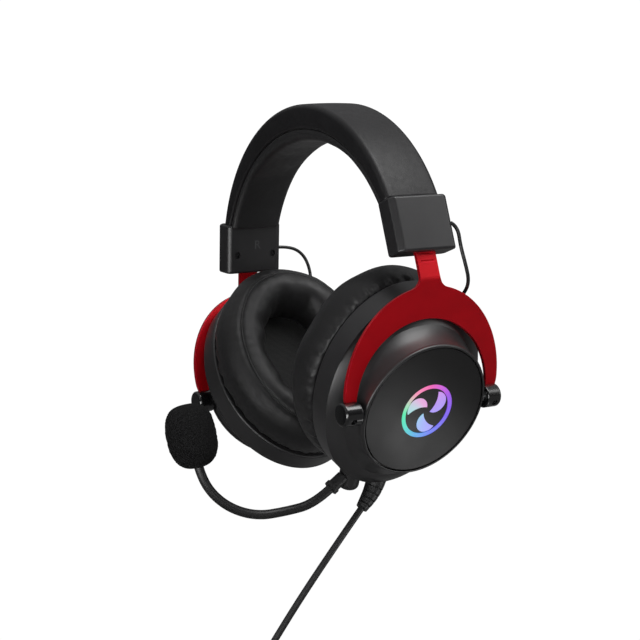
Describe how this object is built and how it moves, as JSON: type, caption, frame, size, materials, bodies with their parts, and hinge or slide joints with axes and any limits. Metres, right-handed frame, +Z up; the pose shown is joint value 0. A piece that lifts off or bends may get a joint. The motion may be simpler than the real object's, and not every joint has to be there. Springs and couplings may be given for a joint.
{
  "type": "gaming headset",
  "caption": "Over-ear gaming headset with a padded headband, sliding red metal forks, tilting oval cups with lit round caps, a detachable boom microphone and a USB lead put away in a coil.",
  "frame": {"origin": "middle of the head pad underside, where a head carries the headset", "axes": "+Z up, the wearer faces -Y, the wearer's left is +X"},
  "size_m": [0.1904, 0.2077, 0.3187],
  "materials": {
    "black_shell": "satin",
    "black_cap": "matte",
    "black_gloss": "gloss",
    "red_metal": "anodised satin",
    "leatherette": "fine grain",
    "mic_foam": "open cell foam",
    "soft_black": "soft",
    "spring_steel": "brushed",
    "screw_steel": "blackened",
    "circuit": "solder mask",
    "light_guide": "frosted, emissive",
    "grey_plastic": "matte",
    "driver_film": "film",
    "driver_cloth": "knit",
    "magnet": "plated",
    "plug_metal": "plated"
  },
  "bodies": {
    "headband": {"steel_band": "spring_steel", "band_cover": "leatherette", "head_pad": "leatherette", "left_slider_outer": "black_shell", "left_slider_inner": "black_shell", "right_slider_outer": "black_shell", "right_slider_inner": "black_shell", "slider_screws": "screw_steel", "detent_leaves": "spring_steel", "left_lead": "soft_black", "right_lead": "soft_black"},
    "left_fork": {"left_yoke": "red_metal", "left_pivot_blocks": "black_gloss", "left_block_screws": "screw_steel"},
    "right_fork": {"right_yoke": "red_metal", "right_pivot_blocks": "black_gloss", "right_block_screws": "screw_steel"},
    "left_cup": {"left_front_housing": "black_shell", "left_rear_housing": "black_shell", "left_cap": "black_cap", "left_light_guide": "light_guide", "left_led_board": "circuit", "left_baffle": "grey_plastic", "left_driver_frame": "grey_plastic", "left_driver_magnet": "magnet", "left_diaphragm": "driver_film", "left_driver_cloth": "driver_cloth", "left_ear_cushion": "leatherette", "left_pivot_pins": "spring_steel", "left_cup_screws": "screw_steel", "sound_board": "circuit", "strain_relief": "soft_black", "cord": "soft_black", "cord_coil": "soft_black", "cord_tie": "soft_black", "usb_plug_grip": "soft_black", "usb_plug_shell": "plug_metal"},
    "right_cup": {"right_front_housing": "black_shell", "right_rear_housing": "black_shell", "right_cap": "black_cap", "right_light_guide": "light_guide", "right_led_board": "circuit", "right_baffle": "grey_plastic", "right_driver_frame": "grey_plastic", "right_driver_magnet": "magnet", "right_diaphragm": "driver_film", "right_driver_cloth": "driver_cloth", "right_ear_cushion": "leatherette", "right_pivot_pins": "spring_steel", "right_cup_screws": "screw_steel"},
    "barrel": {"mic_barrel": "black_shell"},
    "microphone": {"mic_collar": "soft_black", "mic_plug": "plug_metal", "mic_boom": "soft_black", "mic_capsule": "black_shell", "mic_foam": "mic_foam"},
    "wheel": {"volume_wheel": "black_shell"},
    "button": {"mute_button": "black_shell"}
  },
  "joints": [
    {"name": "left_slide", "type": "slide", "parent": "headband", "child": "left_fork", "axis": [0.1942, 0, -0.981], "range_m": [-0.008, 0.012], "deforming": ["left_lead"]},
    {"name": "right_slide", "type": "slide", "parent": "headband", "child": "right_fork", "axis": [-0.1942, 0, -0.981], "range_m": [-0.004, 0.016], "deforming": ["right_lead"]},
    {"name": "left_tilt", "type": "hinge", "parent": "left_fork", "child": "left_cup", "pos_m": [0.0755, 0, -0.141], "axis": [0, 1, 0], "range_deg": [-33, 0]},
    {"name": "right_tilt", "type": "hinge", "parent": "right_fork", "child": "right_cup", "pos_m": [-0.07472, 0, -0.13708], "axis": [0, -1, 0], "range_deg": [-33, 0]},
    {"name": "mic_swivel", "type": "hinge", "parent": "left_cup", "child": "barrel", "pos_m": [0.03191, -0.0182, -0.17547], "axis": [0.4695, 0, 0.8829], "range_deg": [-12, 12]},
    {"name": "mic_unplug", "type": "slide", "parent": "barrel", "child": "microphone", "axis": [-0.1386, -0.8145, -0.5633], "range_m": [0, 0.014]},
    {"name": "volume_turn", "type": "hinge", "parent": "left_cup", "child": "wheel", "pos_m": [0.04597, 0.03559, -0.1486], "axis": [0.8829, 0, -0.4695], "range_deg": [-135, 135]},
    {"name": "mute_press", "type": "slide", "parent": "left_cup", "child": "button", "axis": [0, -1, 0], "range_m": [0, 0.0012], "stiffness_N_per_m": 600}
  ]
}
